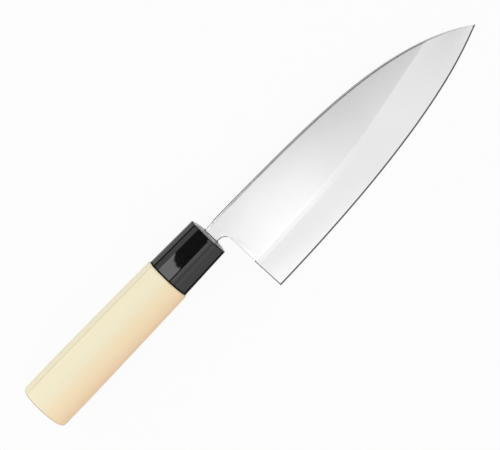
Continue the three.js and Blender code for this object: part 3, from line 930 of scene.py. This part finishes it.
class KNIFE_OT_handle(bpy.types.Operator):
    """Shape the handle: a swelling oval grip with a crest, a tenon and a bore for the tang"""

    bl_idname = "knife.handle"
    bl_label = "Handle"

    def execute(self, context):
        sizes = context.scene.knife_handle
        collar = context.scene.knife_collar
        bm = bmesh.new()
        ring = oval_ring(bm, sizes.crest_rise / (sizes.rear_thick / 2))
        unit = [vertex.co.copy() for vertex in ring]
        butt, front = -sizes.butt_reach, -sizes.grip_start

        def outer(x, ease):
            share = min(max((front - x) / (sizes.swell_reach - sizes.grip_start), 0), 1)
            share = SWELL_ROUNDNESS * math.sin(share * math.pi / 2) + (1 - SWELL_ROUNDNESS) * share
            height = sizes.front_height + share * (sizes.rear_height - sizes.front_height)
            thick = sizes.front_thick + share * (sizes.rear_thick - sizes.front_thick)
            return oval_places(unit, x, height - 2 * ease, thick - 2 * ease)

        put_ring(ring, outer(butt, 2 * sizes.butt_ease))
        bm.faces.new(ring)
        ease = sizes.butt_ease
        for turn in CORNER_TURNS:
            x = butt + ease * (1 - math.cos(turn))
            ring = draw_out(bm, ring, outer(x, ease * (1 - math.sin(turn))))
        start, end = butt + ease, front - sizes.shoulder
        for x in steps_between(start, end, GRIP_STATIONS)[1:-1]:
            ring = draw_out(bm, ring, outer(x, 0))
        ease = sizes.shoulder
        for turn in CORNER_TURNS:
            x = end + ease * math.sin(turn)
            ring = draw_out(bm, ring, outer(x, ease * (1 - math.cos(turn))))

        # The tenon fills the collar, and the bore runs a little past the tang
        tip = -collar.front_wall - TENON_SHORT
        for x in (front, tip):
            ring = draw_out(bm, ring, sleeve_places(unit, collar, x, collar.wall + TENON_CLEARANCE))
        ring = draw_out(bm, ring, slot_places(unit, tip, *BORE_MOUTH))
        ring = draw_out(bm, ring, slot_places(unit, -sizes.tang_reach - BORE_PAST_TANG, *BORE_END))
        bm.faces.new(ring)
        piece = finish_piece(bm, "oval_handle", [magnolia_wood(sizes)])
        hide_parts("handle")
        return {"FINISHED"}


class KNIFE_OT_resin_bed(bpy.types.Operator):
    """Finish the resin that beds the tang, whose solid stays as it is"""

    bl_idname = "knife.resin_bed"
    bl_label = "Resin bed"

    def execute(self, context):
        bed = frame["nodes"]["tang_adhesive"]
        material = cured_resin("cast_amber_resin", context.scene.knife_handle.bed_colour)
        for slot in bed.material_slots:
            slot.material = material
        return {"FINISHED"}


def soft_box(name, place, target, width, height, radiance):
    """A rectangular soft light of even brightness, aimed at a point."""
    lamp = bpy.data.lights.new(name, "AREA")
    lamp.shape = "RECTANGLE"
    lamp.size, lamp.size_y = width, height
    lamp.energy = math.pi * width * height * radiance
    light = bpy.data.objects.new(name, lamp)
    light.location = place
    light.rotation_euler = (Vector(place) - Vector(target)).to_track_quat("Z", "Y").to_euler()
    bpy.context.scene.collection.objects.link(light)


def add_flat(name, corners, material):
    """A flat sheet that belongs to the stage."""
    bm = bmesh.new()
    bm.faces.new([bm.verts.new(corner) for corner in corners])
    mesh = bpy.data.meshes.new(name)
    bm.to_mesh(mesh)
    bm.free()
    mesh.materials.append(material)
    flat = bpy.data.objects.new(name, mesh)
    bpy.context.scene.collection.objects.link(flat)


class KNIFE_OT_stage(bpy.types.Operator):
    """Set the camera, the white floor and the soft light"""

    bl_idname = "knife.stage"
    bl_label = "Stage"

    def execute(self, context):
        self.aim_camera(context)
        self.lay_floor(context)
        self.hang_lights()
        self.light_world(context)
        context.scene.view_settings.view_transform = "Standard"
        return {"FINISHED"}

    def aim_camera(self, context):
        sizes = context.scene.knife_stage
        sight = Vector((math.tan(sizes.tilt), math.tan(sizes.roll), 1)).normalized()
        along = (Vector((1, 0, 0)) - sight * sight.x).normalized()
        edgeward = -sight.cross(along)
        right = along * math.cos(sizes.turn) + edgeward * math.sin(sizes.turn)
        up = along * math.sin(sizes.turn) - edgeward * math.cos(sizes.turn)
        stand = Matrix.Translation(PICTURE_MIDDLE + sight * sizes.distance)
        data = bpy.data.cameras.new("camera")
        data.lens = data.sensor_width * sizes.distance / sizes.picture_width
        data.clip_start, data.clip_end = SIGHT_RANGE
        camera = bpy.data.objects.new("camera", data)
        facing = Matrix((right, up, sight)).transposed().to_4x4()
        camera.matrix_world = knife_place() @ stand @ facing
        context.scene.collection.objects.link(camera)
        context.scene.camera = camera

    def lay_floor(self, context):
        """White paper that the camera sees as white, a little greyer where the knife shades it."""
        material = bpy.data.materials.new("white_paper")
        material.use_nodes = True
        tree = material.node_tree
        tree.nodes.clear()
        tone = toned(context.scene.knife_stage.floor_colour)
        paper = add_node(tree, "ShaderNodeBsdfDiffuse", {"Color": tone})
        white = add_node(tree, "ShaderNodeEmission", {"Color": (1, 1, 1, 1), "Strength": 1.0})
        rays = add_node(tree, "ShaderNodeLightPath")
        mirrored = add_node(tree, "ShaderNodeMath", {"operation": "MAXIMUM"}, {
            0: rays.outputs["Is Glossy Ray"], 1: rays.outputs["Is Transmission Ray"],
        })
        share = add_node(tree, "ShaderNodeMath", {"operation": "MULTIPLY", 1: MIRRORED_WHITE},
                         {0: mirrored.outputs["Value"]})
        share = add_node(tree, "ShaderNodeMath", {"operation": "MULTIPLY_ADD", 1: SEEN_WHITE},
                         {0: rays.outputs["Is Camera Ray"], 2: share.outputs["Value"]})
        mix = add_node(tree, "ShaderNodeMixShader", None, {
            0: share.outputs["Value"], 1: paper.outputs["BSDF"], 2: white.outputs["Emission"],
        })
        add_node(tree, "ShaderNodeOutputMaterial", None, {"Surface": mix.outputs["Shader"]})
        reach = FLOOR_REACH
        corners = ((-reach, -reach, 0), (reach, -reach, 0), (reach, reach, 0), (-reach, reach, 0))
        add_flat("floor", corners, material)

    def hang_lights(self):
        """Soft boxes overhead and low on both sides, and the cards that gloss and steel mirror."""
        for box in SOFT_BOXES:
            soft_box(*box)
        cards = {}
        for finish, tone in CARD_TONES.items():
            cards[finish] = bpy.data.materials.new(finish)
            cards[finish].use_nodes = True
            shader = cards[finish].node_tree.nodes["Principled BSDF"]
            shader.inputs["Base Color"].default_value = (tone, tone, tone, 1)
        for name, finish, height, outline in CARDS:
            add_flat(name, [(x, y, height) for x, y in outline], cards[finish])

    def light_world(self, context):
        """Even white surroundings, which light the knife and stand behind it."""
        world = bpy.data.worlds.new("studio")
        world.use_nodes = True
        glow = world.node_tree.nodes["Background"]
        glow.inputs["Color"].default_value = (1, 1, 1, 1)
        glow.inputs["Strength"].default_value = 1.0
        context.scene.world = world


class KNIFE_PT_build(bpy.types.Panel):
    """Lists the knife's pieces in the order they are made"""

    bl_idname = "KNIFE_PT_build"
    bl_label = "Kitchen knife"
    bl_space_type = "VIEW_3D"
    bl_region_type = "UI"
    bl_category = "Knife"

    def draw(self, context):
        for operator in OPERATORS:
            self.layout.operator(operator.bl_idname)


SIZE_GROUPS = {
    "knife_blade": KnifeBladeSizes,
    "knife_collar": KnifeCollarSizes,
    "knife_handle": KnifeHandleSizes,
    "knife_stage": KnifeStageSizes,
}
OPERATORS = (
    KNIFE_OT_stage,
    KNIFE_OT_blade,
    KNIFE_OT_collar,
    KNIFE_OT_bead,
    KNIFE_OT_handle,
    KNIFE_OT_resin_bed,
)


def register():
    for name, group in SIZE_GROUPS.items():
        bpy.utils.register_class(group)
        setattr(bpy.types.Scene, name, bpy.props.PointerProperty(type=group))
    for operator in OPERATORS:
        bpy.utils.register_class(operator)
    bpy.utils.register_class(KNIFE_PT_build)


def unregister():
    bpy.utils.unregister_class(KNIFE_PT_build)
    for operator in reversed(OPERATORS):
        bpy.utils.unregister_class(operator)
    for name, group in reversed(SIZE_GROUPS.items()):
        delattr(bpy.types.Scene, name)
        bpy.utils.unregister_class(group)


def main():
    register()
    bpy.ops.knife.stage()
    bpy.ops.knife.blade()
    bpy.ops.knife.collar()
    bpy.ops.knife.bead()
    bpy.ops.knife.handle()
    bpy.ops.knife.resin_bed()


if __name__ == "__main__":
    main()
